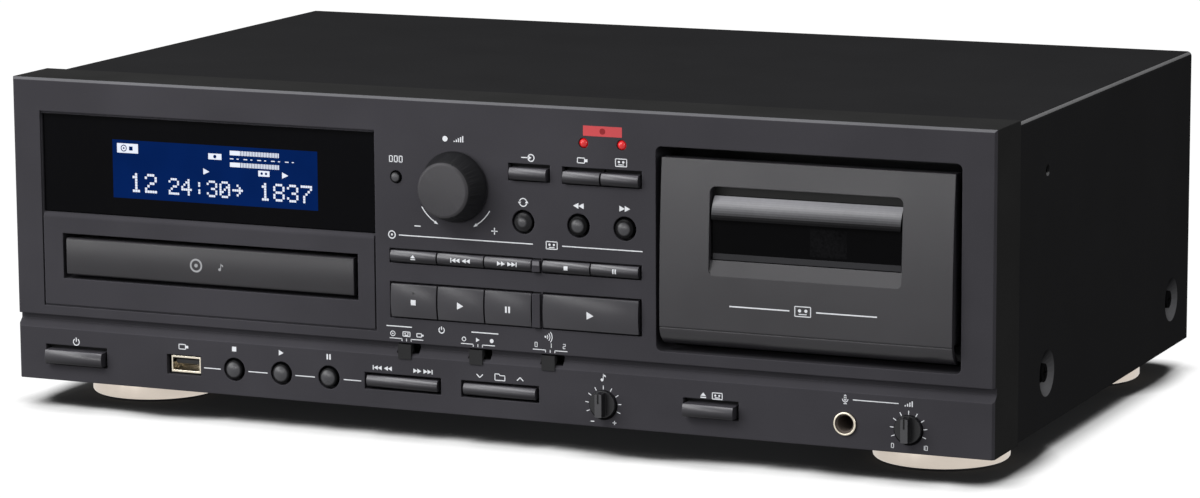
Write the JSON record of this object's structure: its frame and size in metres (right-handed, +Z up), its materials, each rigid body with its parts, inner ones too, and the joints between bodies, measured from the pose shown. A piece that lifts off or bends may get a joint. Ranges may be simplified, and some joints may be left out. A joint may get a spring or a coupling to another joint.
{
  "type": "disc player and cassette deck",
  "caption": "Full-width charcoal hi-fi unit: disc tray and blue display at the left, key cluster and large knob in the middle, convex cassette door at the right.",
  "frame": {"origin": "centre of the bounding box, at the floor", "axes": "+X to the right seen from the front, -Y out of the front panel, +Z up"},
  "size_m": [0.435, 0.2904, 0.1407],
  "materials": {
    "panel_plastic": "fine satin charcoal",
    "cover_paint": "matte black",
    "sheet_steel": "zinc plated",
    "foot_plastic": "champagne",
    "pad_rubber": "matte",
    "screw_steel": "black oxide",
    "window_acrylic": "polished",
    "display_blue": "backlit",
    "board_green": "solder mask",
    "lamp_red": "tinted",
    "nickel": "plated",
    "gold_plate": "plated",
    "socket_black": "fine",
    "dark_plastic": "fine",
    "pane_smoke": "polished smoke",
    "white_plastic": "natural",
    "bright_metal": "turned",
    "roller_rubber": "ground"
  },
  "bodies": {
    "cabinet": {"front_panel": "panel_plastic", "top_cover": "cover_paint", "bottom_chassis": "sheet_steel", "rear_panel": "cover_paint", "feet": "foot_plastic", "foot_pads": "pad_rubber", "cabinet_screws": "screw_steel", "display_window": "window_acrylic", "display_module": "display_blue", "control_board": "board_green", "record_lamps": "lamp_red", "memory_port": "nickel", "microphone_jack": "nickel", "phono_jacks": "gold_plate", "mains_inlet": "socket_black", "main_board": "board_green", "disc_loader": "dark_plastic", "transport_plate": "sheet_steel"},
    "tray": {"disc_tray": "dark_plastic", "tray_bar": "panel_plastic"},
    "pinion": {"tray_pinion": "white_plastic"},
    "turntable": {"disc_turntable": "dark_plastic"},
    "pickup": {"optical_pickup": "bright_metal"},
    "door": {"cassette_door": "panel_plastic", "door_pane": "pane_smoke", "cassette_holder": "dark_plastic"},
    "supply_hub": {"supply_spindle": "white_plastic"},
    "takeup_hub": {"takeup_spindle": "white_plastic"},
    "capstan": {"capstan_flywheel": "bright_metal"},
    "heads": {"head_bridge": "bright_metal"},
    "roller": {"pinch_roller": "roller_rubber"},
    "level": {"level_knob": "panel_plastic"},
    "pitch": {"pitch_dial": "panel_plastic"},
    "microphone_level": {"microphone_dial": "panel_plastic"},
    "input_switch": {"input_slider": "dark_plastic"},
    "sync_switch": {"sync_slider": "dark_plastic"},
    "timer_switch": {"timer_slider": "dark_plastic"},
    "power_button": {"power_key": "panel_plastic"},
    "counter_button": {"counter_key": "panel_plastic"},
    "source_button": {"source_key": "panel_plastic"},
    "memory_record_button": {"memory_record_key": "panel_plastic"},
    "tape_record_button": {"tape_record_key": "panel_plastic"},
    "repeat_button": {"repeat_key": "panel_plastic"},
    "rewind_button": {"rewind_key": "panel_plastic"},
    "forward_button": {"forward_key": "panel_plastic"},
    "disc_open_button": {"disc_open_key": "panel_plastic"},
    "disc_back_button": {"disc_back_key": "panel_plastic"},
    "disc_next_button": {"disc_next_key": "panel_plastic"},
    "tape_stop_button": {"tape_stop_key": "panel_plastic"},
    "tape_pause_button": {"tape_pause_key": "panel_plastic"},
    "disc_stop_button": {"disc_stop_key": "panel_plastic"},
    "disc_play_button": {"disc_play_key": "panel_plastic"},
    "disc_pause_button": {"disc_pause_key": "panel_plastic"},
    "tape_play_button": {"tape_play_key": "panel_plastic"},
    "memory_stop_button": {"memory_stop_key": "panel_plastic"},
    "memory_play_button": {"memory_play_key": "panel_plastic"},
    "memory_pause_button": {"memory_pause_key": "panel_plastic"},
    "eject_button": {"eject_key": "panel_plastic"},
    "skip_bar": {"skip_rocker": "panel_plastic"},
    "folder_bar": {"folder_rocker": "panel_plastic"}
  },
  "joints": [
    {"name": "tray_slide", "type": "slide", "parent": "cabinet", "child": "tray", "axis": [0, -1, 0], "range_m": [0, 0.13]},
    {"name": "pinion_turn", "type": "hinge", "parent": "cabinet", "child": "pinion", "pos_m": [-0.0823, -0.09875, 0.057], "axis": [0, 0, 1], "range_deg": [-830, 0]},
    {"name": "turntable_spin", "type": "hinge", "parent": "cabinet", "child": "turntable", "pos_m": [-0.1253, -0.06275, 0.062], "axis": [0, 0, 1], "continuous": true},
    {"name": "pickup_slide", "type": "slide", "parent": "cabinet", "child": "pickup", "axis": [0, 1, 0], "range_m": [0, 0.036]},
    {"name": "door_swing", "type": "hinge", "parent": "cabinet", "child": "door", "pos_m": [0.14, -0.12725, 0.056], "axis": [1, 0, 0], "range_deg": [0, 32]},
    {"name": "supply_spin", "type": "hinge", "parent": "cabinet", "child": "supply_hub", "pos_m": [0.11875, -0.10775, 0.087], "axis": [0, 1, 0], "continuous": true},
    {"name": "takeup_spin", "type": "hinge", "parent": "cabinet", "child": "takeup_hub", "pos_m": [0.16125, -0.10775, 0.087], "axis": [0, 1, 0], "continuous": true},
    {"name": "capstan_spin", "type": "hinge", "parent": "cabinet", "child": "capstan", "pos_m": [0.1635, -0.10775, 0.0675], "axis": [0, 1, 0], "continuous": true},
    {"name": "head_lift", "type": "slide", "parent": "cabinet", "child": "heads", "axis": [0, 0, 1], "range_m": [0, 0.0045]},
    {"name": "roller_spin", "type": "hinge", "parent": "heads", "child": "roller", "pos_m": [0.1635, -0.11075, 0.0533], "axis": [0, 1, 0], "continuous": true},
    {"name": "level_turn", "type": "hinge", "parent": "cabinet", "child": "level", "pos_m": [-0.0114, -0.13275, 0.1058], "axis": [0, 1, 0], "continuous": true},
    {"name": "pitch_turn", "type": "hinge", "parent": "cabinet", "child": "pitch", "pos_m": [0.0532, -0.13275, 0.02155], "axis": [0, 1, 0], "range_deg": [-140, 140]},
    {"name": "microphone_level_turn", "type": "hinge", "parent": "cabinet", "child": "microphone_level", "pos_m": [0.1826, -0.13275, 0.02175], "axis": [0, 1, 0], "range_deg": [-140, 140]},
    {"name": "input_slide", "type": "slide", "parent": "cabinet", "child": "input_switch", "axis": [1, 0, 0], "range_m": [0, 0.004]},
    {"name": "sync_slide", "type": "slide", "parent": "cabinet", "child": "sync_switch", "axis": [1, 0, 0], "range_m": [0, 0.004]},
    {"name": "timer_slide", "type": "slide", "parent": "cabinet", "child": "timer_switch", "axis": [1, 0, 0], "range_m": [0, 0.004]},
    {"name": "power_press", "type": "slide", "parent": "cabinet", "child": "power_button", "axis": [0, 1, 0], "range_m": [0, 0.002], "stiffness_N_per_m": 150},
    {"name": "counter_press", "type": "slide", "parent": "cabinet", "child": "counter_button", "axis": [0, 1, 0], "range_m": [0, 0.001], "stiffness_N_per_m": 150},
    {"name": "source_press", "type": "slide", "parent": "cabinet", "child": "source_button", "axis": [0, 1, 0], "range_m": [0, 0.001], "stiffness_N_per_m": 150},
    {"name": "memory_record_press", "type": "slide", "parent": "cabinet", "child": "memory_record_button", "axis": [0, 1, 0], "range_m": [0, 0.001], "stiffness_N_per_m": 150},
    {"name": "tape_record_press", "type": "slide", "parent": "cabinet", "child": "tape_record_button", "axis": [0, 1, 0], "range_m": [0, 0.001], "stiffness_N_per_m": 150},
    {"name": "repeat_press", "type": "slide", "parent": "cabinet", "child": "repeat_button", "axis": [0, 1, 0], "range_m": [0, 0.001], "stiffness_N_per_m": 150},
    {"name": "rewind_press", "type": "slide", "parent": "cabinet", "child": "rewind_button", "axis": [0, 1, 0], "range_m": [0, 0.001], "stiffness_N_per_m": 150},
    {"name": "forward_press", "type": "slide", "parent": "cabinet", "child": "forward_button", "axis": [0, 1, 0], "range_m": [0, 0.001], "stiffness_N_per_m": 150},
    {"name": "disc_open_press", "type": "slide", "parent": "cabinet", "child": "disc_open_button", "axis": [0, 1, 0], "range_m": [0, 0.001], "stiffness_N_per_m": 150},
    {"name": "disc_back_press", "type": "slide", "parent": "cabinet", "child": "disc_back_button", "axis": [0, 1, 0], "range_m": [0, 0.001], "stiffness_N_per_m": 150},
    {"name": "disc_next_press", "type": "slide", "parent": "cabinet", "child": "disc_next_button", "axis": [0, 1, 0], "range_m": [0, 0.001], "stiffness_N_per_m": 150},
    {"name": "tape_stop_press", "type": "slide", "parent": "cabinet", "child": "tape_stop_button", "axis": [0, 1, 0], "range_m": [0, 0.001], "stiffness_N_per_m": 150},
    {"name": "tape_pause_press", "type": "slide", "parent": "cabinet", "child": "tape_pause_button", "axis": [0, 1, 0], "range_m": [0, 0.001], "stiffness_N_per_m": 150},
    {"name": "disc_stop_press", "type": "slide", "parent": "cabinet", "child": "disc_stop_button", "axis": [0, 1, 0], "range_m": [0, 0.001], "stiffness_N_per_m": 150},
    {"name": "disc_play_press", "type": "slide", "parent": "cabinet", "child": "disc_play_button", "axis": [0, 1, 0], "range_m": [0, 0.001], "stiffness_N_per_m": 150},
    {"name": "disc_pause_press", "type": "slide", "parent": "cabinet", "child": "disc_pause_button", "axis": [0, 1, 0], "range_m": [0, 0.001], "stiffness_N_per_m": 150},
    {"name": "tape_play_press", "type": "slide", "parent": "cabinet", "child": "tape_play_button", "axis": [0, 1, 0], "range_m": [0, 0.001], "stiffness_N_per_m": 150},
    {"name": "memory_stop_press", "type": "slide", "parent": "cabinet", "child": "memory_stop_button", "axis": [0, 1, 0], "range_m": [0, 0.001], "stiffness_N_per_m": 150},
    {"name": "memory_play_press", "type": "slide", "parent": "cabinet", "child": "memory_play_button", "axis": [0, 1, 0], "range_m": [0, 0.001], "stiffness_N_per_m": 150},
    {"name": "memory_pause_press", "type": "slide", "parent": "cabinet", "child": "memory_pause_button", "axis": [0, 1, 0], "range_m": [0, 0.001], "stiffness_N_per_m": 150},
    {"name": "eject_press", "type": "slide", "parent": "cabinet", "child": "eject_button", "axis": [0, 1, 0], "range_m": [0, 0.002], "stiffness_N_per_m": 150},
    {"name": "skip_rock", "type": "hinge", "parent": "cabinet", "child": "skip_bar", "pos_m": [-0.0362, -0.12655, 0.02295], "axis": [0, 0, 1], "range_deg": [-3, 3], "stiffness_Nm_per_rad": 0.05},
    {"name": "folder_rock", "type": "hinge", "parent": "cabinet", "child": "folder_bar", "pos_m": [0.0076, -0.12655, 0.02295], "axis": [0, 0, 1], "range_deg": [-3, 3], "stiffness_Nm_per_rad": 0.05}
  ],
  "couplings": [
    {"joint": "pinion_turn", "follows": "tray_slide", "rad_per_m": -111.11}
  ]
}
